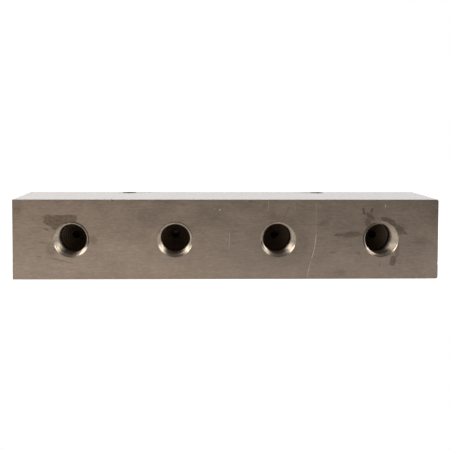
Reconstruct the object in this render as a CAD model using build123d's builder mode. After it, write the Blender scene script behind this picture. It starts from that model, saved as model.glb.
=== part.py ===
from build123d import *

import os
from math import radians, tan

# Hydraulic manifold block: a ground steel bar with a row of threaded ports in its front face.
#
# Each port ends in a drill point, from which a small passage runs on into a gallery that is bored
# along the whole bar. The gallery opens in a threaded port at each end of the bar, and two bolt
# holes pass down through the bar behind the gallery.
#
# Millimetres, +Z up. The origin is the middle of the underside, the ports look towards -Y and the
# bar runs along X. The threads are 3/8-18 taper pipe threads, bored here at the tap drill's size.

INCH = 25.4

# Bar. Its length follows from the row of ports, and its depth from the bores that cross it.
port_count = 4
port_pitch = 1.9375 * INCH      # from one front port to the next
end_margin = 1.09375 * INCH     # from an end of the bar to the first port
height = 1.5 * INCH
edge_break = 0.2                # chamfer on the outer edges

# Threaded ports
port_bore = 0.5625 * INCH       # the tap drill
port_depth = 16.5               # from the face to the shoulder of the drill point
mouth_depth = 1.43              # countersink in the port's mouth
mouth_angle = 90.0              # its included angle
drill_angle = 118.0             # included angle of a drill point

# Gallery and passages
gallery_bore = 0.4375 * INCH
gallery_setback = 1.25 * INCH   # from the front face to the gallery's axis
passage_bore = 3.7

# Bolt holes
bolt_bore = 0.28125 * INCH
bolt_setback = 0.5 * INCH       # from the gallery's axis to the bolt holes
bolt_margin = 0.25 * INCH       # from the bolt holes to the rear face
bolt_break = 0.3                # chamfer at both ends of a bolt hole

# Overall sizes and places that follow from these
row_length = (port_count - 1) * port_pitch
length = row_length + 2 * end_margin
depth = gallery_setback + bolt_setback + bolt_margin
bolt_spacing = row_length - port_pitch      # midway between the ports of each outer pair

front_y = -depth / 2
shoulder_y = front_y + port_depth
gallery_y = front_y + gallery_setback
bolt_y = gallery_y + bolt_setback
axis_z = height / 2                         # the ports and the gallery lie at half height

# Half section of a port: Y = 0 is the face that it opens in, and +Y runs into the metal.
mouth_radius = port_bore / 2 + mouth_depth * tan(radians(mouth_angle / 2))
port_tip = port_depth + port_bore / 2 / tan(radians(drill_angle / 2))
port_section = [
    (0, 0),
    (mouth_radius, 0),
    (port_bore / 2, mouth_depth),
    (port_bore / 2, port_depth),
    (0, port_tip),
]

# One plane through each port's axis, with its origin in the mouth and its Y axis into the metal
front_planes = [
    Plane(origin=(x, front_y, axis_z), x_dir=(1, 0, 0), z_dir=(0, 0, 1))
    for x in [(i - (port_count - 1) / 2) * port_pitch for i in range(port_count)]
]
end_planes = [
    Plane(origin=(side * length / 2, gallery_y, axis_z), x_dir=(0, side, 0), z_dir=(0, 0, 1))
    for side in (-1, 1)
]

with BuildPart() as manifold_block:
    # Bar, with its sharp edges broken
    with BuildSketch(Plane.XY):
        Rectangle(length, depth)
    extrude(amount=height)
    chamfer(manifold_block.edges(), length=edge_break)

    # Ports in the front face and in both ends: mouth, bore and drill point in one turned cut
    for plane in front_planes + end_planes:
        with BuildSketch(plane):
            with BuildLine():
                Polyline(*port_section, close=True)
            make_face()
        revolve(axis=Axis(plane.origin, plane.y_dir), mode=Mode.SUBTRACT)

    # Gallery, from the drill point of one end port to that of the other
    with BuildSketch(Plane.YZ):
        with Locations((gallery_y, axis_z)):
            Circle(gallery_bore / 2)
    extrude(amount=length / 2 - port_depth, both=True, mode=Mode.SUBTRACT)

    # Passages, from the drill point of each front port back into the gallery
    with BuildSketch(Plane.XZ.offset(-gallery_y)):
        with Locations((0, axis_z)):
            with GridLocations(port_pitch, 0, port_count, 1):
                Circle(passage_bore / 2)
    extrude(amount=gallery_y - shoulder_y, mode=Mode.SUBTRACT)

    # Bolt holes through the height of the bar
    with Locations((0, bolt_y, height)):
        with GridLocations(bolt_spacing, 0, 2, 1):
            Hole(bolt_bore / 2)
    chamfer(manifold_block.edges(Select.LAST).filter_by(GeomType.CIRCLE), length=bolt_break)

manifold_block.part.label = "manifold_block"

os.makedirs("parts", exist_ok=True)
export_step(manifold_block.part, "parts/manifold_block.step")
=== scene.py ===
from math import hypot, pi, radians, tan

import bpy
from bpy.props import FloatProperty, FloatVectorProperty, IntProperty, PointerProperty
from mathutils import Matrix, Vector


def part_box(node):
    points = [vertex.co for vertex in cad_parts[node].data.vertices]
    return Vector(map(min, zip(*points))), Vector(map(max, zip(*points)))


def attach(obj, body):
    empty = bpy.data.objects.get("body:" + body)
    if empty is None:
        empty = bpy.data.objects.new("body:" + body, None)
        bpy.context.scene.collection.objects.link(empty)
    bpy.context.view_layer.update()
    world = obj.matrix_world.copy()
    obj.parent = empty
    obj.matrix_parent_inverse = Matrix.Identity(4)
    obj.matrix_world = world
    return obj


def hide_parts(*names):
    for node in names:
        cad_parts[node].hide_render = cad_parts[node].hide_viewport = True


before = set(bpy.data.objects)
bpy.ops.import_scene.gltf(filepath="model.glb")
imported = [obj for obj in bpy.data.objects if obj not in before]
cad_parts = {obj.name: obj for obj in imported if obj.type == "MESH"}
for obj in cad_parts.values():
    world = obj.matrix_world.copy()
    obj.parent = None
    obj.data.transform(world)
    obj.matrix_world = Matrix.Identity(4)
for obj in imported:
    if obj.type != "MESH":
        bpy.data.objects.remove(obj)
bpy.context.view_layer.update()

bl_info = {
    "name": "Hydraulic Manifold Block",
    "version": (1, 0, 0),
    "blender": (4, 5, 0),
    "location": "View3D > Sidebar > Manifold",
    "description": "Models a ground steel manifold block with threaded ports, and a plain stage for it",
    "category": "Object",
}

NODE = "manifold_block"
LOW, HIGH = (Vector(corner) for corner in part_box(NODE))
SIZE = HIGH - LOW
MID = (LOW + HIGH) / 2

SEGMENTS = 96  # facets round a bore
CLEAR = 0.001  # how far a cutting tool stands out of the metal
HAIR = 0.00001  # slack in telling where a face lies


# ---------------------------------------------------------------- settings

class ManifoldSizes(bpy.types.PropertyGroup):
    """Sizes of the bores and threads in the block"""
    port_count: IntProperty(name="Ports", description="Ports in the front face", default=4, min=1)
    port_pitch: FloatProperty(
        name="Port pitch", description="Distance from one front port to the next",
        default=0.0492125, unit="LENGTH")
    port_bore: FloatProperty(
        name="Port bore", description="Diameter of a port's tapping bore",
        default=0.0142875, unit="LENGTH")
    port_depth: FloatProperty(
        name="Port depth", description="From the face to the shoulder of the drill point",
        default=0.0165, unit="LENGTH")
    mouth_depth: FloatProperty(
        name="Mouth depth", description="Depth of the 90 degree countersink in a port's mouth",
        default=0.00143, unit="LENGTH")
    drill_angle: FloatProperty(
        name="Drill angle", description="Included angle of a drill point",
        default=radians(118), subtype="ANGLE")
    thread_pitch: FloatProperty(
        name="Thread pitch", description="Distance between neighbouring thread crests",
        default=0.0254 / 18, unit="LENGTH")
    thread_root: FloatProperty(
        name="Thread root", description="Diameter at the root of the thread in the port's mouth",
        default=0.0169, unit="LENGTH")
    thread_turns: IntProperty(
        name="Thread turns", description="Turns of thread in a port, from its mouth", default=9, min=1)
    gallery_bore: FloatProperty(
        name="Gallery bore", description="Diameter of the bore along the block",
        default=0.0111125, unit="LENGTH")
    gallery_setback: FloatProperty(
        name="Gallery setback", description="From the front face to the gallery's axis",
        default=0.03175, unit="LENGTH")
    passage_bore: FloatProperty(
        name="Passage bore", description="Diameter of the passage from a port to the gallery",
        default=0.0037, unit="LENGTH")
    bolt_bore: FloatProperty(
        name="Bolt bore", description="Diameter of the bolt holes", default=0.00714375, unit="LENGTH")
    bolt_spacing: FloatProperty(
        name="Bolt spacing", description="Distance between the two bolt holes",
        default=0.098425, unit="LENGTH")
    bolt_margin: FloatProperty(
        name="Bolt margin", description="From the bolt holes to the rear face",
        default=0.00635, unit="LENGTH")
    bolt_break: FloatProperty(
        name="Bolt hole chamfer", description="Chamfer at both ends of a bolt hole",
        default=0.0003, unit="LENGTH")
    edge_break: FloatProperty(
        name="Edge break", description="Width of the chamfer on the outer edges",
        default=0.00013, unit="LENGTH")


class ManifoldFinish(bpy.types.PropertyGroup):
    """Colours and gloss of the steel"""
    # painted shade: the ground faces darken from the paler colour at one end of the block to the darker one
    # at the other
    paler_steel: FloatVectorProperty(
        name="Brown steel", description="Colour of the ground faces at the browner end",
        subtype="COLOR", size=3, min=0, max=1, default=(0.236, 0.175, 0.128))
    darker_steel: FloatVectorProperty(
        name="Grey steel", description="Colour of the ground faces at the greyer end",
        subtype="COLOR", size=3, min=0, max=1, default=(0.149, 0.111, 0.083))
    # the stain colour also paints shade on the upper side of the bores and beside the bolt holes
    stain: FloatVectorProperty(
        name="Stain", description="What an oil stain leaves of the steel's colour",
        subtype="COLOR", size=3, min=0, max=1, default=(0.47, 0.42, 0.36))
    # painted shade: what the broad painted shading leaves of the front face's colour
    painted_shade: FloatVectorProperty(
        name="Shade", description="What a broad dark shade leaves of the steel's colour",
        subtype="COLOR", size=3, min=0, max=1, default=(0.45, 0.46, 0.47))
    scratch: FloatVectorProperty(
        name="Scratch", description="Colour of a fresh scratch",
        subtype="COLOR", size=3, min=0, max=1, default=(0.75, 0.66, 0.55))
    bore_mouth: FloatVectorProperty(
        name="Port mouth", description="Colour of the countersinks and first threads",
        subtype="COLOR", size=3, min=0, max=1, default=(0.300, 0.245, 0.186))
    # painted shade: this colour darkens the bores further in, along their lower side and on the lower side of
    # the drill points
    bore_shade_colour: FloatVectorProperty(
        name="Deep bore", description="Colour of the oily steel deep in the bores",
        subtype="COLOR", size=3, min=0, max=1, default=(0.060, 0.034, 0.019))
    bore_point: FloatVectorProperty(
        name="Drill point", description="Steel of the drill points at the ends of the ports",
        subtype="COLOR", size=3, min=0, max=1, default=(0.150, 0.104, 0.068))
    roughness: FloatProperty(
        name="Roughness", description="Roughness of the ground faces", subtype="FACTOR",
        default=0.33, min=0, max=1)
    handling: FloatProperty(
        name="Handling", description="How much rougher the top, rear and underside are",
        subtype="FACTOR", default=0.10, min=0, max=1)
    grain_strength: FloatProperty(
        name="Grain", description="Strength of the grinding and turning marks", subtype="FACTOR",
        default=0.5, min=0, max=1)
    cutter_radius: FloatProperty(
        name="Cutter radius", description="Radius of the cutter that milled the ends",
        default=0.04, unit="LENGTH")
    feed: FloatProperty(
        name="Feed", description="Distance between the cutter's arcs on the ends",
        default=0.0009, unit="LENGTH")


class ManifoldStage(bpy.types.PropertyGroup):
    """The camera's place, turn, tilt, roll, lens and lens shift"""
    camera_place: FloatVectorProperty(
        name="Camera", description="Where the camera stands", subtype="TRANSLATION",
        unit="LENGTH", size=3, default=(-0.01754, -0.43783, 0.07202))
    camera_turn: FloatProperty(
        name="Turn", description="The camera's turn to the right", subtype="ANGLE", default=radians(1.744))
    camera_tilt: FloatProperty(
        name="Tilt", description="The camera's tilt downwards", subtype="ANGLE", default=radians(3))
    camera_roll: FloatProperty(
        name="Roll", description="The camera's roll", subtype="ANGLE", default=radians(0.16))
    lens: FloatProperty(name="Lens", description="Focal length in millimetres", default=69.65)
    lens_shift: FloatVectorProperty(
        name="Lens shift", description="Shift of the lens to the right and up, in frame widths",
        size=2, default=(0.0188, -0.1138))


# ---------------------------------------------------------------- modelling helpers

def deselect():
    """Clears the selection, because an operator acts on all that is selected."""
    bpy.ops.object.select_all(action="DESELECT")


def pick(piece):
    """Makes a piece the only selected and the active object."""
    deselect()
    piece.select_set(True)
    bpy.context.view_layer.objects.active = piece


def settle(piece):
    """Puts a piece's place, turn and scale into its mesh."""
    pick(piece)
    bpy.ops.object.transform_apply(location=True, rotation=True, scale=True)


def apply(piece, kind, **settings):
    """Adds a modifier, sets it and applies it."""
    pick(piece)
    modifier = piece.modifiers.new(kind.title(), kind)
    for name, value in settings.items():
        setattr(modifier, name, value)
    bpy.ops.object.modifier_apply(modifier=modifier.name)


def face_outwards(piece):
    """Turns the faces of a closed mesh outwards."""
    pick(piece)
    bpy.ops.object.mode_set(mode="EDIT")
    bpy.ops.mesh.select_all(action="SELECT")
    bpy.ops.mesh.normals_make_consistent(inside=False)
    bpy.ops.object.mode_set(mode="OBJECT")


def turned(name, rings, segments=SEGMENTS):
    """A closed solid turned about the Z axis, from (radius, height) rings. A radius of 0 is a tip."""
    deselect()
    radius, height = rings[0]
    bpy.ops.mesh.primitive_circle_add(
        vertices=segments, radius=radius, fill_type="NGON", location=(0, 0, height))
    piece = bpy.context.object
    piece.name = name
    settle(piece)
    bpy.ops.object.mode_set(mode="EDIT")
    bpy.ops.mesh.select_all(action="SELECT")
    for last, (next_radius, next_height) in zip(rings, rings[1:]):
        bpy.ops.mesh.extrude_region_move(
            TRANSFORM_OT_translate={"value": (0, 0, next_height - last[1])})
        if next_radius == 0:
            bpy.ops.mesh.merge(type="CENTER")
        else:
            grow = next_radius / last[0]
            bpy.ops.transform.resize(value=(grow, grow, 1), center_override=(0, 0, next_height))
    bpy.ops.object.mode_set(mode="OBJECT")
    face_outwards(piece)
    return piece


def thread_plug(sizes):
    """The solid that a taper tap sweeps: a helical V-shaped ridge about the Z axis, Z into the metal."""
    pitch = sizes.thread_pitch
    flat = pitch / 16  # the narrow flat at the thread's root
    flank = radians(30)
    taper = 1 / 16  # of a pipe thread, on its diameter
    merge = pitch / 1000
    root = sizes.thread_root / 2
    crest = root - (pitch - flat) / 2 / tan(flank)
    deselect()
    bpy.ops.mesh.primitive_plane_add(size=pitch, location=(crest, 0, -pitch))
    plug = bpy.context.object
    plug.name = "thread_plug"
    settle(plug)
    bpy.ops.object.mode_set(mode="EDIT")
    bpy.ops.mesh.select_all(action="SELECT")
    bpy.ops.mesh.merge(type="CENTER")
    for step in (
        (root - crest, 0, (pitch - flat) / 2),
        (0, 0, flat),
        (crest - root, 0, (pitch - flat) / 2),
    ):
        bpy.ops.mesh.extrude_region_move(TRANSFORM_OT_translate={"value": step})
    bpy.ops.object.mode_set(mode="OBJECT")
    apply(plug, "SCREW", axis="Z", angle=2 * pi, screw_offset=pitch, iterations=sizes.thread_turns + 1,
          steps=SEGMENTS, render_steps=SEGMENTS, use_merge_vertices=True, merge_threshold=merge)
    # close both ends with a fan to the axis
    bpy.ops.object.mode_set(mode="EDIT")
    bpy.ops.mesh.select_mode(type="EDGE")
    bpy.ops.mesh.select_all(action="SELECT")
    bpy.ops.mesh.remove_doubles(threshold=merge)
    middle = (sizes.thread_turns - 1) / 2 * pitch
    for upper_end in (False, True):
        bpy.ops.mesh.select_all(action="DESELECT")
        bpy.ops.mesh.select_non_manifold(extend=False, use_wire=False, use_boundary=True,
                                         use_multi_face=False, use_non_contiguous=False, use_verts=False)
        bpy.ops.object.mode_set(mode="OBJECT")
        for edge in [edge for edge in plug.data.edges if edge.select]:
            heights = [plug.data.vertices[number].co.z for number in edge.vertices]
            edge.select = (sum(heights) / 2 > middle) == upper_end
        for vertex in plug.data.vertices:
            vertex.select = False
        bpy.ops.object.mode_set(mode="EDIT")
        bpy.ops.mesh.extrude_edges_move()
        bpy.ops.mesh.merge(type="CENTER")
    bpy.ops.object.mode_set(mode="OBJECT")
    face_outwards(plug)
    apply(plug, "SIMPLE_DEFORM", deform_method="TAPER", deform_axis="Z",
          factor=-plug.dimensions.z * taper / sizes.thread_root)
    return plug


def place(piece, spot, toward, roll=0.0):
    """Turns a solid that was made about the Z axis so that Z points toward, and moves it to a spot."""
    piece.rotation_euler = (Vector(toward).to_track_quat("Z", "Y").to_matrix()
                            @ Matrix.Rotation(roll, 3, "Z")).to_euler()
    piece.location = spot
    settle(piece)


def copy_of(piece, name):
    """A copy with a mesh of its own."""
    twin = piece.copy()
    twin.data = piece.data.copy()
    twin.name = name
    bpy.context.collection.objects.link(twin)
    return twin


def cut(piece, *tools):
    """Cuts the tools out of a piece, and removes them."""
    for tool in tools:
        apply(piece, "BOOLEAN", operation="DIFFERENCE", solver="MANIFOLD", object=tool)
        bpy.data.objects.remove(tool)


# ---------------------------------------------------------------- the block

def port_mouths(sizes):
    """Each port's mouth on its axis, with the direction into the metal: front ports, then ends."""
    first = -(sizes.port_count - 1) / 2 * sizes.port_pitch
    mouths = [
        (Vector((MID.x + first + i * sizes.port_pitch, LOW.y, MID.z)), Vector((0, 1, 0)))
        for i in range(sizes.port_count)
    ]
    gallery_y = LOW.y + sizes.gallery_setback
    for end, into in ((LOW.x, 1), (HIGH.x, -1)):
        mouths.append((Vector((end, gallery_y, MID.z)), Vector((into, 0, 0))))
    return mouths


def bar(sizes):
    """The ground bar, with its edges broken."""
    deselect()
    bpy.ops.mesh.primitive_cube_add(size=1, location=MID, scale=SIZE)
    piece = bpy.context.object
    piece.name = "block"
    settle(piece)
    apply(piece, "BEVEL", width=sizes.edge_break, segments=1, limit_method="ANGLE")
    return piece


def bore_ports(piece, sizes):
    """Cuts every port: countersunk mouth, tapping bore, drill point and thread."""
    bore = sizes.port_bore / 2
    tip = sizes.port_depth + bore / tan(sizes.drill_angle / 2)
    mouth = bore + sizes.mouth_depth
    start_turn = radians(77)  # so that each thread starts at another angle
    port = turned("port", [
        (mouth + CLEAR, -CLEAR), (bore, sizes.mouth_depth), (bore, sizes.port_depth), (0, tip)])
    thread = thread_plug(sizes)
    for number, (spot, into) in enumerate(port_mouths(sizes)):
        for tool in (thread, port):
            one = copy_of(tool, f"{tool.name}_{number}")
            place(one, spot, into, roll=number * start_turn)
            cut(piece, one)
    bpy.data.objects.remove(port)
    bpy.data.objects.remove(thread)


def bore_oilways(piece, sizes):
    """Cuts the gallery along the block, and the passages from the front ports back to its axis."""
    radius = sizes.gallery_bore / 2
    run = SIZE.x / 2 - sizes.port_depth  # to the shoulders of the end ports
    gallery = turned("gallery", [(radius, -run), (radius, run)])
    gallery_y = LOW.y + sizes.gallery_setback
    place(gallery, (MID.x, gallery_y, MID.z), (1, 0, 0))
    cut(piece, gallery)
    radius = sizes.passage_bore / 2
    for spot, into in port_mouths(sizes)[:sizes.port_count]:
        passage = turned("passage", [(radius, sizes.port_depth), (radius, sizes.gallery_setback)],
                         segments=SEGMENTS // 2)
        place(passage, spot, into)
        cut(piece, passage)


def bore_bolt_holes(piece, sizes):
    """Drills the two bolt holes down through the block, chamfered above and below."""
    radius = sizes.bolt_bore / 2
    wide = radius + sizes.bolt_break + CLEAR
    for side in (-1, 1):
        hole = turned("bolt_hole", [
            (wide, -CLEAR), (radius, sizes.bolt_break),
            (radius, SIZE.z - sizes.bolt_break), (wide, SIZE.z + CLEAR)])
        place(hole, (MID.x + side * sizes.bolt_spacing / 2, HIGH.y - sizes.bolt_margin, LOW.z), (0, 0, 1))
        cut(piece, hole)


# dents in the outer edges, in millimetres: x, y, z, half length, half depth, half height
NICKS = (
    (-54.6, -25.4, 38.1, 0.75, 2.6, 0.75),
    (-15.7, -25.4, 38.1, 0.4, 1.6, 0.4),
    (70.9, -25.4, 38.1, 0.35, 1.2, 0.35),
    (89.3, -25.4, 38.1, 0.3, 1.2, 0.3),
    (101.6, -25.4, 7.3, 0.4, 0.6, 0.7),
    (91.4, -25.4, 0.0, 0.6, 0.8, 0.4),
    (101.6, -25.4, 38.1, 0.7, 0.9, 0.7),
    (101.6, -25.4, 0.0, 0.9, 1.0, 0.9),
)


def dent_edges(piece):
    """Knocks the small dents out of the edges."""
    for x, y, z, *half in NICKS:
        deselect()
        bpy.ops.mesh.primitive_uv_sphere_add(
            segments=16, ring_count=10, radius=1, location=(x / 1000, y / 1000, z / 1000))
        dent = bpy.context.object
        dent.scale = [size / 1000 for size in half]
        settle(dent)
        cut(piece, dent)


def in_mouth(point, sizes):
    """True where a point lies within the rim of a bore."""
    mouth = sizes.port_bore / 2 + sizes.mouth_depth + HAIR
    for spot, into in port_mouths(sizes):
        offset = point - spot
        if (offset - into * offset.dot(into)).length < mouth:
            return True
    bolt = sizes.bolt_bore / 2 + sizes.bolt_break + HAIR
    for side in (-1, 1):
        x = MID.x + side * sizes.bolt_spacing / 2
        if hypot(point.x - x, point.y - HIGH.y + sizes.bolt_margin) < bolt:
            return True
    return False


def on_skin(face):
    """True for a face that lies flat in one of the bar's six sides."""
    for axis in range(3):
        if abs(face.normal[axis]) > 0.999:
            side = HIGH if face.normal[axis] > 0 else LOW
            return abs(face.center[axis] - side[axis]) < HAIR
    return False


def finish_faces(piece, sizes, finish):
    """Gives each face its finish, and keeps the flat outer faces flat."""
    # faces that are given no other finish keep the first
    finishes = (ground_steel, front_steel, milled_steel, bored_steel)
    piece.data.materials.clear()
    for make in finishes:
        piece.data.materials.append(make(finish))
    pick(piece)
    bpy.ops.object.shade_smooth_by_angle(angle=radians(35))
    edge = sizes.edge_break + HAIR
    for face in piece.data.polygons:
        if in_mouth(face.center, sizes) and not on_skin(face):
            face.material_index = finishes.index(bored_steel)
        else:
            face.use_smooth = False
            if face.center.y < LOW.y + edge:
                face.material_index = finishes.index(front_steel)
            elif abs(face.center.x - MID.x) > SIZE.x / 2 - edge:
                face.material_index = finishes.index(milled_steel)


class MANIFOLD_OT_block(bpy.types.Operator):
    """Models the manifold block in one piece, with its ports, oilways and bolt holes"""
    bl_idname = "manifold.block"
    bl_label = "Manifold block"

    def execute(self, context):
        sizes = context.scene.manifold_sizes
        piece = bar(sizes)
        bore_ports(piece, sizes)
        bore_oilways(piece, sizes)
        bore_bolt_holes(piece, sizes)
        dent_edges(piece)
        finish_faces(piece, sizes, context.scene.manifold_finish)
        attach(piece, "root")
        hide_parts(NODE)
        return {"FINISHED"}


# ---------------------------------------------------------------- materials

class Desk:
    """Adds nodes to a node tree and wires them"""

    def __init__(self, tree):
        self.tree = tree
        tree.nodes.clear()

    def add(self, kind, inputs=(), **settings):
        """A node with its settings made and its inputs filled with sockets or plain values."""
        made = self.tree.nodes.new("ShaderNode" + kind)
        for name, value in settings.items():
            setattr(made, name, value)
        for name, value in dict(inputs).items():
            if isinstance(value, bpy.types.NodeSocket):
                self.tree.links.new(value, made.inputs[name])
            else:
                made.inputs[name].default_value = value
        return made

    def maths(self, operation, *values, clamp=False):
        """A sum on sockets and plain numbers."""
        return self.add("Math", enumerate(values), operation=operation, use_clamp=clamp).outputs[0]

    def vectors(self, operation, *values):
        """A sum on points and directions."""
        return self.add("VectorMath", enumerate(values), operation=operation).outputs[0]

    def split(self, point):
        """The x, y and z of a point."""
        return self.add("SeparateXYZ", {0: point}).outputs

    def noise(self, point, scale, detail=2.0, roughness=0.5):
        """Cloudy noise from 0 to 1, finer where the scale is higher."""
        inputs = {"Vector": point, "Scale": scale, "Detail": detail, "Roughness": roughness}
        return self.add("TexNoise", inputs).outputs[0]

    def streaks(self, point, width, length, turn=(0, 0, 0), detail=2.0):
        """Noise drawn out along X, as wide and long as given in metres."""
        drawn = self.add("Mapping", {"Vector": point, "Rotation": turn, "Scale": (width / length, 1, 1)})
        return self.noise(drawn.outputs[0], 1 / width, detail)

    def waves(self, value, length):
        """A sine from -1 to 1 that repeats each time the value grows by the length."""
        return self.maths("SINE", self.maths("MULTIPLY", value, 2 * pi / length))

    def between(self, value, low, high, to_low=0.0, to_high=1.0):
        """Eases from to_low to to_high while the value goes from low to high."""
        made = self.add("MapRange", enumerate((value, low, high, to_low, to_high)),
                        interpolation_type="SMOOTHSTEP")
        return made.outputs[0]

    def blend(self, share, first, second, kind="MIX"):
        """The first colour where the share is 0, and the second where it is 1."""
        return self.add("Mix", {0: share, 6: first, 7: second}, data_type="RGBA", blend_type=kind).outputs[2]

    def tone(self, colour, *parts):
        """Makes a colour lighter and darker by each (noise, amount)."""
        level = 1.0
        for noise, amount in parts:
            level = self.maths("MULTIPLY_ADD", noise, 2 * amount, self.maths("SUBTRACT", level, amount))
        return self.add("VectorMath", {0: colour, "Scale": level}, operation="SCALE").outputs[0]


def new_material(name):
    """An empty node material. Returns it with a desk for its nodes."""
    material = bpy.data.materials.new(name)
    material.use_nodes = True
    return material, Desk(material.node_tree)


def new_group(name, inputs):
    """A node group with one Factor output. Returns it with its desk, its inputs and a way to end it."""
    group = bpy.data.node_groups.new(name, "ShaderNodeTree")
    for label in inputs:
        kind = "NodeSocketVector" if label in ("Point", "Centre", "Size") else "NodeSocketFloat"
        group.interface.new_socket(name=label, in_out="INPUT", socket_type=kind)
    group.interface.new_socket(name="Factor", in_out="OUTPUT", socket_type="NodeSocketFloat")
    desk = Desk(group)
    entry = group.nodes.new("NodeGroupInput").outputs
    leave = group.nodes.new("NodeGroupOutput").inputs
    return group, desk, entry, lambda factor: group.links.new(factor, leave[0])


def from_centre(desk, entry):
    """Where a point lies from the centre of a mark on a face that looks along Y, turned with the mark."""
    away = desk.vectors("SUBTRACT", entry["Point"], entry["Centre"])
    return desk.add("VectorRotate", {"Vector": away, "Angle": entry["Turn"]},
                    rotation_type="Y_AXIS").outputs[0]


def spot_group():
    """A flat patch on a face that looks along Y: 1 inside, 0 outside, with a ragged and soft edge."""
    group, desk, entry, end = new_group("Spot", (
        "Point", "Centre", "Size", "Turn", "Square", "Ragged", "Soft", "Strength"))
    x, _, z = desk.split(desk.vectors("DIVIDE", from_centre(desk, entry), entry["Size"]))
    across = desk.maths("POWER", desk.maths("ABSOLUTE", x), entry["Square"])
    up = desk.maths("POWER", desk.maths("ABSOLUTE", z), entry["Square"])
    reach = desk.maths("POWER", desk.maths("ADD", across, up), desk.maths("DIVIDE", 1.0, entry["Square"]))
    rough = desk.maths("SUBTRACT", desk.noise(entry["Point"], 420, 4.0, 0.65), 0.5)
    reach = desk.maths("MULTIPLY_ADD", rough, entry["Ragged"], reach)
    outer = desk.maths("ADD", 1.0, entry["Soft"])
    inner = desk.maths("SUBTRACT", 1.0, entry["Soft"])
    inside = desk.between(reach, outer, inner)
    end(desk.maths("MULTIPLY", inside, entry["Strength"]))
    return group


def scratch_group():
    """A thin bowed line on a face that looks along Y."""
    group, desk, entry, end = new_group("Scratch", (
        "Point", "Centre", "Turn", "Length", "Bow", "Width", "Strength"))
    x, _, z = desk.split(from_centre(desk, entry))
    along = desk.maths("DIVIDE", z, desk.maths("MULTIPLY", entry["Length"], 0.5))
    bowed = desk.maths("MULTIPLY", entry["Bow"], desk.maths("SUBTRACT", 1.0, desk.maths("POWER", along, 2.0)))
    across = desk.maths("ABSOLUTE", desk.maths("SUBTRACT", x, bowed))
    line = desk.between(across, desk.maths("MULTIPLY", entry["Width"], 0.5), 0.0)
    ends = desk.between(desk.maths("ABSOLUTE", along), 1.0, 0.8)
    broken = desk.between(desk.noise(entry["Point"], 700, 2.0), 0.3, 0.6, 0.5, 1.0)
    drawn = desk.maths("MULTIPLY", desk.maths("MULTIPLY", line, ends), broken)
    end(desk.maths("MULTIPLY", drawn, entry["Strength"]))
    return group


# what the rows of marks below hold after x and z
SPOT_LABELS = ("Half width", "Half height", "Turn", "Square", "Ragged", "Soft", "Strength")
SCRATCH_LABELS = ("Turn", "Length", "Bow", "Width", "Strength")

# patches on the front face, in millimetres and degrees:
# x, z, half width, half height, turn, squareness, raggedness, softness, strength
STAINS = (
    # an oil stain above and beside the first port, with smudges round it
    (-76.4, 28.3, 5.3, 2.5, -1, 7, 0.3, 0.06, 1.0),
    (-83.2, 27.9, 3.5, 2.7, -14, 3, 1.0, 0.12, 1.0),
    (-85.6, 29.4, 2.0, 1.4, 24, 2, 1.4, 0.3, 0.6),
    (-81.6, 25.8, 2.8, 2.0, -40, 2, 0.9, 0.2, 0.9),
    (-86.4, 30.2, 1.8, 0.25, 5, 2, 1.0, 0.4, 0.6),
    (-85.6, 24.0, 1.7, 0.6, -24, 2, 1.2, 0.3, 0.8),
    (-83.2, 14.2, 2.4, 3.0, 30, 2, 1.4, 0.6, 0.5),
    (-63.6, 18.9, 1.7, 2.2, 20, 2, 1.4, 0.4, 0.6),
    (-88.9, 10.8, 1.1, 0.35, 0, 2, 1.0, 0.4, 0.7),
    (-79.4, 9.3, 6.0, 0.35, -13, 2, 1.4, 0.6, 0.55),
    (-87.2, 17.8, 2.4, 0.3, 0, 2, 1.4, 0.5, 0.45),
    (-95.4, 26.6, 1.6, 0.4, -15, 2, 1.2, 0.6, 0.3),
    # a faint ring of oil round the third port
    (26.4, 19.6, 13.0, 12.4, 0, 2, 0.5, 0.3, 0.26),
    (26.0, 29.0, 7.6, 2.2, -6, 2, 0.9, 0.5, 0.42),
    (36.2, 18.9, 2.6, 6.6, 8, 2, 0.9, 0.4, 0.36),
    (38.3, 19.9, 1.4, 0.4, 0, 2, 1.0, 0.4, 0.45),
    (11.3, 37.2, 1.0, 0.5, 0, 2, 1.0, 0.5, 0.6),
    # oil that crept out of the fourth port
    (65.6, 32.3, 0.7, 1.9, 14, 2, 1.3, 0.2, 1.0),
    (69.3, 32.8, 0.55, 1.5, -16, 2, 1.3, 0.25, 1.0),
    (68.9, 29.9, 3.0, 1.2, -34, 2, 1.3, 0.3, 0.9),
    (67.6, 27.2, 1.4, 2.2, 14, 2, 1.1, 0.4, 0.85),
    (76.0, 28.8, 2.2, 1.0, -8, 2, 1.0, 0.2, 1.0),
    (79.0, 27.2, 3.0, 1.3, -36, 2, 1.0, 0.25, 1.0),
    (82.6, 23.6, 2.4, 2.2, -30, 2, 1.2, 0.25, 0.9),
    (85.0, 22.2, 2.0, 0.8, -18, 2, 1.1, 0.3, 0.8),
    (60.0, 21.4, 4.8, 1.3, 2, 2, 1.1, 0.3, 0.8),
    (54.4, 21.1, 2.6, 0.8, 0, 2, 1.2, 0.4, 0.8),
    (79.9, 8.8, 1.4, 2.3, -12, 3, 1.0, 0.2, 1.0),
    (81.8, 13.4, 1.0, 3.2, -8, 2, 1.2, 0.6, 0.5),
    (73.4, 6.6, 0.5, 1.1, 0, 2, 1.0, 0.5, 0.45),
    (51.2, 12.8, 1.8, 0.9, 0, 2, 1.2, 0.5, 0.4),
    (62.8, 12.6, 1.4, 0.9, -20, 2, 1.2, 0.5, 0.45),
    (47.2, 27.4, 3.2, 1.6, 30, 2, 1.2, 0.8, 0.35),
    (54.4, 3.2, 2.8, 1.2, 0, 2, 1.2, 0.7, 0.4),
    (92.6, 18.1, 4.8, 1.9, 4, 2, 1.2, 0.8, 0.5),
)
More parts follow.
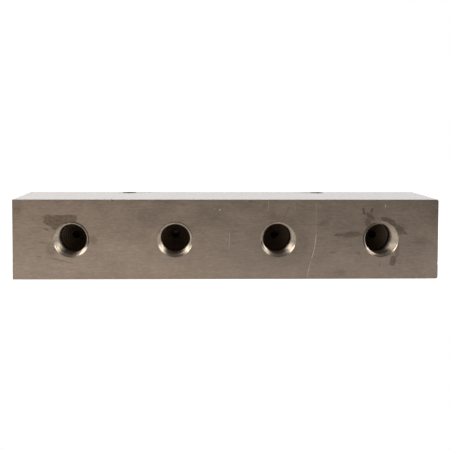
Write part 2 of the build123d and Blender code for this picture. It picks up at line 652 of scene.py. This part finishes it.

# painted shade: broad darker patches of the front face, in the same order
PAINTED_SHADES = (
    (-96.0, 6.0, 14.0, 11.0, 2, 2, 0.6, 0.9, 0.26),
    (-66.0, 5.6, 30.0, 8.0, 0, 2, 0.6, 0.9, 0.2),
    (-36.6, 31.0, 9.0, 6.6, 0, 2, 0.7, 0.9, 0.26),
    (-43.0, 19.2, 6.5, 3.0, 0, 2, 0.9, 0.9, 0.15),
    (-34.0, 37.4, 30.0, 2.2, 0, 2, 0.7, 0.9, 0.28),
    (-18.0, 36.6, 5.0, 1.4, 0, 2, 0.9, 0.8, 0.22),
    (-7.4, 30.0, 9.0, 6.4, 8, 2, 0.8, 0.9, 0.36),
    (8.0, 35.0, 14.0, 3.6, 0, 2, 0.7, 0.9, 0.22),
    (2.0, 19.6, 16.0, 8.0, 0, 2, 0.7, 0.9, 0.14),
    (-22.0, 11.6, 15.0, 7.0, 0, 2, 0.6, 0.9, 0.28),
    (12.0, 10.6, 27.0, 6.4, 0, 2, 0.6, 0.9, 0.27),
    (36.0, 9.6, 9.0, 5.0, 0, 2, 0.8, 0.9, 0.24),
    (60.0, 19.0, 16.0, 10.0, 0, 2, 0.7, 0.9, 0.12),
    (88.0, 11.0, 11.0, 7.0, 0, 2, 0.8, 0.9, 0.2),
    (99.8, 35.5, 6.0, 7.5, 20, 2, 0.7, 0.8, 0.4),
    (-100.0, 33.4, 3.0, 2.4, 0, 2, 0.9, 0.8, 0.22),
    (-33.4, 9.6, 2.4, 6.0, 0, 2, 0.9, 0.8, 0.1),
)

# painted shade on the top face beside the bolt holes, standing in for the dark inside them, with y in the
# place of z
BOLT_HOLE_SHADE = (
    (-49.2, 19.2, 5.4, 4.8, 0, 2, 0.9, 0.3, 0.6),
    (-40.6, 19.4, 6.0, 1.6, 2, 2, 1.3, 0.5, 0.7),
    (44.6, 19.2, 3.4, 4.2, 0, 2, 1.0, 0.3, 1.0),
    (40.6, 18.6, 4.0, 1.4, 0, 2, 1.2, 0.5, 0.6),
)

# lines on the front face, in millimetres and degrees: x, z, turn, length, bow, width, strength
PALE_SCRATCHES = (
    (42.6, 30.0, 0, 15.4, 0.1, 0.34, 0.24),
    (41.6, 15.8, -9.7, 13.6, 0.5, 0.4, 0.46),
    (39.4, 4.9, -12.7, 8.6, 0, 0.36, 0.32),
    (19.75, 35.2, 0, 5.0, 0, 0.32, 0.34),
    (15.8, 35.2, -23, 3.8, 0, 0.3, 0.18),
    (32.5, 35.2, 14, 4.2, 0, 0.3, 0.24),
    (1.2, 19.4, -2, 6.4, 0.1, 0.34, 0.34),
    (0.9, 15.2, -10, 1.8, 0, 0.34, 0.3),
    (75.9, 35.2, 0, 1.5, 0, 0.5, 0.6),
    (-3.3, 33.2, -35, 1.2, 0, 0.6, 0.6),
    (-5.8, 33.7, 0, 0.7, 0, 0.5, 0.3),
)
DARK_SCRATCHES = (
    (28.6, 32.2, -27, 6.4, 0, 0.5, 1.0),
    (-80.4, 30.3, 70, 5.0, 0.2, 0.5, 0.9),
    (-86.6, 27.8, 100, 3.0, 0, 0.4, 0.6),
)


def laid_out(desk, group, point, rows, labels):
    """The strongest of a group's copies, one for each row. Lengths turn from millimetres into metres."""
    strongest = 0.0
    for x, z, *rest in rows:
        values = dict(zip(labels, rest))
        inputs = {"Point": point, "Centre": (x / 1000, 0, z / 1000)}
        if "Half width" in values:
            inputs["Size"] = (values.pop("Half width") / 1000, 1, values.pop("Half height") / 1000)
        for label in ("Length", "Bow", "Width"):
            if label in values:
                values[label] /= 1000
        values["Turn"] = radians(values["Turn"])
        inputs.update(values)
        one = desk.add("Group", inputs, node_tree=group)
        strongest = desk.maths("MAXIMUM", strongest, one.outputs[0])
    return strongest


# heights of the tool marks, in metres
GROUND_GRAIN = 0.000004
MILLED_GRAIN = 0.000008
BORED_GRAIN = 0.000006


def ground_finish(desk, point, finish):
    """Fine grinding grain along the block on slightly uneven steel. Returns colour, roughness and height."""
    x = desk.split(point)[0]
    elsewhere = desk.vectors("ADD", point, (0.31, 0.17, 0.05))  # so that blotches don't follow clouds
    clouds = desk.noise(point, 26, 3.0, 0.6)
    blotches = desk.noise(elsewhere, 130, 4.0, 0.6)
    bands = desk.streaks(point, 0.0007, 0.006)
    grain = desk.streaks(point, 0.0004, 0.0016, detail=3.0)
    # painted shade: the steel darkens from one end of the block to the other, broken up by the clouds
    share = desk.maths("MULTIPLY_ADD", desk.maths("SUBTRACT", clouds, 0.5), 1.1,
                       desk.between(x, LOW.x, HIGH.x), clamp=True)
    colour = desk.blend(share, (*finish.paler_steel, 1), (*finish.darker_steel, 1))
    colour = desk.tone(colour, (clouds, 0.16), (blotches, 0.20), (bands, 0.16), (grain, 0.34))
    roughness = desk.maths("MULTIPLY_ADD", blotches, 0.10, finish.roughness - 0.05)
    roughness = desk.maths("MULTIPLY_ADD", desk.maths("SUBTRACT", bands, 0.5), 0.12, roughness)
    height = desk.maths("MULTIPLY_ADD", bands, 0.6, grain)
    return colour, roughness, height


def steel_shader(desk, finish, colour, roughness, height, depth):
    """Ends a material: bare steel under a thin film of oil."""
    bump = desk.add("Bump", {"Height": height, "Strength": finish.grain_strength, "Distance": depth})
    steel = desk.add("BsdfPrincipled", {
        "Base Color": colour, "Metallic": 1.0, "Roughness": roughness, "Normal": bump.outputs[0],
        "Coat Weight": 0.6, "Coat Roughness": 0.22})
    desk.tree.links.new(steel.outputs[0], desk.add("OutputMaterial").inputs[0])


def front_steel(finish):
    """The ported face: ground, with broad painted shade, oil stains round the ports and a few scratches."""
    material, desk = new_material("front_steel")
    point = desk.add("TexCoord").outputs["Object"]
    colour, roughness, height = ground_finish(desk, point, finish)
    spot = spot_group()
    scratch = scratch_group()
    painted_shade = laid_out(desk, spot, point, PAINTED_SHADES, SPOT_LABELS)
    stain = laid_out(desk, spot, point, STAINS, SPOT_LABELS)
    pale = laid_out(desk, scratch, point, PALE_SCRATCHES, SCRATCH_LABELS)
    dark = laid_out(desk, scratch, point, DARK_SCRATCHES, SCRATCH_LABELS)
    # painted shade: broad patches darken the front face's colour
    colour = desk.blend(painted_shade, colour, (*finish.painted_shade, 1), "MULTIPLY")
    mottle = desk.between(desk.noise(point, 900, 3.0), 0.25, 0.65, 0.7, 1.0)
    mottled = desk.maths("MULTIPLY", stain, mottle)
    colour = desk.blend(mottled, colour, (*finish.stain, 1), "MULTIPLY")
    colour = desk.blend(dark, colour, (*finish.stain, 1), "MULTIPLY")
    colour = desk.blend(pale, colour, (*finish.scratch, 1))
    roughness = desk.maths("MULTIPLY_ADD", stain, 0.06, roughness)
    steel_shader(desk, finish, colour, roughness, height, GROUND_GRAIN)
    return material


def ground_steel(finish):
    """Top, rear and underside: ground, with light handling marks and painted shade beside the bolt holes."""
    material, desk = new_material("ground_steel")
    point = desk.add("TexCoord").outputs["Object"]
    colour, roughness, height = ground_finish(desk, point, finish)
    # two sets of hairlines, and the noise above which one shows
    for width, length, turn, start in (
        (0.00016, 0.030, (0.3, 0.2, 0.5), 0.70),
        (0.00020, 0.022, (-0.4, 0.5, -0.9), 0.71),
    ):
        mark = desk.between(desk.streaks(point, width, length, turn), start, start + 0.06, 0.0, 0.5)
        colour = desk.blend(mark, colour, (*finish.scratch, 1))
    # the spots are laid out flat here, with Y in the place of Z
    x, y, z = desk.split(point)
    flat = desk.add("CombineXYZ", {0: x, 1: 0.0, 2: y}).outputs[0]
    # painted shade: the stain colour darkens the top face beside the bolt holes, which are also rougher there
    hole_shade = laid_out(desk, spot_group(), flat, BOLT_HOLE_SHADE, SPOT_LABELS)
    hole_shade = desk.maths("MULTIPLY", hole_shade, desk.maths("GREATER_THAN", z, MID.z))
    colour = desk.blend(hole_shade, colour, (*finish.stain, 1), "MULTIPLY")
    roughness = desk.maths("ADD", roughness, finish.handling)
    roughness = desk.maths("MULTIPLY_ADD", hole_shade, 0.5, roughness, clamp=True)
    steel_shader(desk, finish, colour, roughness, height, GROUND_GRAIN)
    return material


def milled_steel(finish):
    """The two ends: face-milled, with the cutter's arcs."""
    material, desk = new_material("milled_steel")
    point = desk.add("TexCoord").outputs["Object"]
    _, y, z = desk.split(point)
    cutter = finish.cutter_radius
    rise = desk.maths("SUBTRACT", z, MID.z)
    chord = desk.maths("SQRT", desk.maths("SUBTRACT", cutter ** 2, desk.maths("POWER", rise, 2.0)))
    feed = desk.maths("SUBTRACT", y, chord)
    wave = desk.waves(feed, finish.feed)
    along = desk.add("CombineXYZ", {0: desk.maths("MULTIPLY", z, 0.02), 1: feed, 2: 0.0}).outputs[0]
    passes = desk.noise(along, 1500, 3.0)
    blotches = desk.noise(point, 90, 4.0, 0.6)
    colour = desk.blend(blotches, (*finish.paler_steel, 1), (*finish.darker_steel, 1))
    colour = desk.tone(colour, (passes, 0.16), (blotches, 0.10))
    roughness = desk.maths("MULTIPLY_ADD", blotches, 0.10, finish.roughness - 0.07)
    height = desk.maths("MULTIPLY_ADD", wave, 0.35, passes)
    steel_shader(desk, finish, colour, roughness, height, MILLED_GRAIN)
    return material


def bored_steel(finish):
    """The bores: turned steel with specks of dirt, and painted shade that darkens them further in and along
    their lower side.
    """
    bolt_zone = HIGH.y - 0.011  # the bolt holes lie behind this
    drill_ring = 0.0006
    turning_ring = 0.00028
    material, desk = new_material("bored_steel")
    point = desk.add("TexCoord").outputs["Object"]
    x, y, z = desk.split(point)
    rise = desk.maths("SUBTRACT", z, MID.z)
    from_front = desk.maths("SUBTRACT", y, LOW.y)
    from_end = desk.maths("SUBTRACT", SIZE.x / 2, desk.maths("ABSOLUTE", x))
    # only the bolt holes start from the top and the underside
    from_top = desk.maths("SUBTRACT", SIZE.z / 2, desk.maths("ABSOLUTE", rise))
    from_top = desk.maths("ADD", from_top, desk.maths("LESS_THAN", y, bolt_zone))
    depth = desk.maths("MINIMUM", desk.maths("MINIMUM", from_front, from_end), from_top)
    uneven = desk.noise(point, 260, 3.0)
    reached = desk.maths("MULTIPLY_ADD", desk.maths("SUBTRACT", uneven, 0.5), 0.004, depth)
    # painted shade darkens a bore further in, and along its lower side nearly out to the mouth
    deep_shade = desk.between(reached, 0.0055, 0.0145)
    low_shade_strength = desk.between(reached, 0.0006, 0.0030, 0.1, 0.95)
    low_shade = desk.between(rise, -0.0044, -0.0066, 0.0, low_shade_strength)
    bore_shade = desk.maths("MAXIMUM", deep_shade, low_shade)
    colour = desk.blend(bore_shade, (*finish.bore_mouth, 1), (*finish.bore_shade_colour, 1))
    colour = desk.tone(colour, (uneven, 0.18))
    # painted shade: the upper side is darkened with the stain colour
    upper_shade = desk.between(rise, 0.0005, 0.006, 0.0, 0.5)
    colour = desk.blend(upper_shade, colour, (*finish.stain, 1), "MULTIPLY")
    specks = desk.between(desk.noise(point, 1300, 3.0), 0.54, 0.66, 0.0, 0.8)
    colour = desk.blend(specks, colour, (*finish.stain, 1), "MULTIPLY")
    # the drill points at the ports' ends carry the drill's rings, round a passage that keeps the bore's
    # painted shade
    ridges = desk.maths("MULTIPLY_ADD", desk.waves(depth, drill_ring), 0.5, 0.5)
    drilled = desk.tone(tuple(finish.bore_point), (ridges, 0.42), (uneven, 0.3))
    # painted shade: the lower side of a drill point darkens to the bore's shade colour
    drilled = desk.blend(desk.between(rise, -0.006, 0.004), (*finish.bore_shade_colour, 1), drilled)
    past_shoulder = desk.between(depth, 0.0158, 0.0168)
    before_passage = desk.between(depth, 0.0198, 0.0195)
    colour = desk.blend(desk.maths("MULTIPLY", past_shoulder, before_passage), colour, drilled)
    roughness = desk.between(bore_shade, 0.0, 1.0, 0.30, 0.46)
    height = desk.maths("MULTIPLY_ADD", desk.waves(depth, turning_ring), 0.3, uneven)
    steel_shader(desk, finish, colour, roughness, height, BORED_GRAIN)
    return material


# ---------------------------------------------------------------- stage

# two soft lamps before the block, one to each side: name, place, power in watts
LAMPS = (
    ("lamp_left", (-0.72, -0.20, 0.48), 8.0),
    ("lamp_right", (0.72, -0.20, 0.48), 6.1),
)
LAMP_AIM = (0, -0.03, 0.2)  # above the block, which catches the lower part of the light
LAMP_WIDTH = 1.0
LAMP_HEIGHT = 0.46

# the floor, which reaches far behind the block
FLOOR_FRONT = -0.14
FLOOR_REAR = 1.6
FLOOR_WIDTH = 2.4
FLOOR_COLOUR = (0.8, 0.8, 0.8, 1)

# how bright the room is before the block, behind it and overhead, and what is left below the horizon
ROOM_FRONT = 1.05
ROOM_REAR = 1.62
ROOM_TOP = 0.25
ROOM_BELOW = 0.58


def stage_floor():
    """A plain pale floor that stays white out of the block's soft shadow."""
    deselect()
    bpy.ops.mesh.primitive_plane_add(size=1, location=(0, (FLOOR_FRONT + FLOOR_REAR) / 2, LOW.z))
    floor = bpy.context.object
    floor.name = "floor"
    floor.scale = (FLOOR_WIDTH, FLOOR_REAR - FLOOR_FRONT, 1)
    settle(floor)
    material, desk = new_material("pale_floor")
    path = desk.add("LightPath").outputs
    seen = desk.maths("MAXIMUM", path["Is Camera Ray"], path["Is Glossy Ray"])
    seen = desk.maths("MAXIMUM", seen, path["Is Transmission Ray"])
    point = desk.add("TexCoord").outputs["Object"]
    away = desk.add("VectorMath", {0: point}, operation="LENGTH").outputs["Value"]
    diffuse = desk.add("BsdfDiffuse", {"Color": FLOOR_COLOUR})
    # the lamps reach the far end of the floor least, so its own glow grows towards there
    level = desk.maths("ADD", desk.between(away, 0.5, 0.95, 0.0, 0.5), 0.5)
    glow = desk.add("Emission", {"Strength": desk.maths("MULTIPLY", seen, level)})
    both = desk.add("AddShader", {0: diffuse.outputs[0], 1: glow.outputs[0]})
    desk.tree.links.new(both.outputs[0], desk.add("OutputMaterial").inputs[0])
    floor.data.materials.append(material)


def softbox(name, spot, power):
    """A rectangular soft lamp."""
    deselect()
    bpy.ops.object.light_add(type="AREA", location=spot)
    lamp = bpy.context.object
    lamp.name = name
    lamp.rotation_euler = (Vector(LAMP_AIM) - Vector(spot)).to_track_quat("-Z", "Y").to_euler()
    lamp.data.shape = "RECTANGLE"
    lamp.data.size = LAMP_WIDTH
    lamp.data.size_y = LAMP_HEIGHT
    lamp.data.energy = power


def studio_world(scene):
    """A room that is bright low down, most of all behind the block, and dim overhead.

    Only the camera sees plain white in its place.
    """
    world = bpy.data.worlds.new("studio")
    scene.world = world
    world.use_nodes = True
    desk = Desk(world.node_tree)
    # y goes from -1 before the block to 1 behind it, and z from -1 below it to 1 overhead
    _, y, z = desk.split(desk.add("TexCoord").outputs["Generated"])
    front = desk.between(y, -0.5, 0.1, ROOM_FRONT, 0.0)
    front = desk.maths("MULTIPLY", front, desk.between(z, 0.3, 0.6, 1.0, 0.0))
    rear = desk.between(y, -0.1, 0.5, 0.0, ROOM_REAR)
    rear = desk.maths("MULTIPLY", rear, desk.between(z, 0.25, 0.5, 1.0, 0.1))
    level = desk.maths("MAXIMUM", desk.maths("ADD", front, rear), ROOM_TOP)
    level = desk.maths("MULTIPLY", level, desk.between(z, 0.01, -0.01, 1.0, ROOM_BELOW))
    room = desk.add("Background", {"Color": level})
    white = desk.add("Background", {"Color": (1, 1, 1, 1)})
    path = desk.add("LightPath").outputs
    seen = desk.add("MixShader", {0: path["Is Camera Ray"], 1: room.outputs[0], 2: white.outputs[0]})
    desk.tree.links.new(seen.outputs[0], desk.add("OutputWorld").inputs[0])


def stage_camera(scene, stage):
    """The camera, which looks at the front from a little above."""
    bpy.ops.object.camera_add(location=stage.camera_place)
    camera = bpy.context.object
    turn = Matrix.Rotation(-stage.camera_turn, 3, "Z")
    tilt = Matrix.Rotation(pi / 2 - stage.camera_tilt, 3, "X")
    roll = Matrix.Rotation(stage.camera_roll, 3, "Z")
    camera.rotation_euler = (turn @ tilt @ roll).to_euler()
    camera.data.lens = stage.lens
    camera.data.shift_x, camera.data.shift_y = stage.lens_shift
    camera.data.clip_start = 0.01
    scene.camera = camera


class MANIFOLD_OT_stage(bpy.types.Operator):
    """Sets the floor, the lamps, the world and the camera"""
    bl_idname = "manifold.stage"
    bl_label = "Stage"

    def execute(self, context):
        scene = context.scene
        stage_floor()
        for lamp in LAMPS:
            softbox(*lamp)
        studio_world(scene)
        stage_camera(scene, scene.manifold_stage)
        scene.view_settings.view_transform = "Standard"
        return {"FINISHED"}


class MANIFOLD_PT_panel(bpy.types.Panel):
    """Sizes, finish and pieces of the manifold block"""
    bl_idname = "MANIFOLD_PT_panel"
    bl_label = "Manifold block"
    bl_space_type = "VIEW_3D"
    bl_region_type = "UI"
    bl_category = "Manifold"

    def draw(self, context):
        layout = self.layout
        for operator in OPERATORS:
            layout.operator(operator.bl_idname)
        for group in GROUPS:
            settings = getattr(context.scene, group)
            box = layout.box()
            for name in settings.bl_rna.properties.keys():
                if name not in ("rna_type", "name"):
                    box.prop(settings, name)


OPERATORS = (MANIFOLD_OT_block, MANIFOLD_OT_stage)
GROUPS = {
    "manifold_sizes": ManifoldSizes,
    "manifold_finish": ManifoldFinish,
    "manifold_stage": ManifoldStage,
}


def register():
    for item in (*GROUPS.values(), *OPERATORS, MANIFOLD_PT_panel):
        bpy.utils.register_class(item)
    for name, group in GROUPS.items():
        setattr(bpy.types.Scene, name, PointerProperty(type=group))


def unregister():
    for name in GROUPS:
        delattr(bpy.types.Scene, name)
    for item in (MANIFOLD_PT_panel, *reversed(OPERATORS), *reversed(list(GROUPS.values()))):
        bpy.utils.unregister_class(item)


def main():
    """Registers the add-on, models the block and sets the stage."""
    register()
    bpy.ops.manifold.block()
    bpy.ops.manifold.stage()


if __name__ == "__main__":
    main()
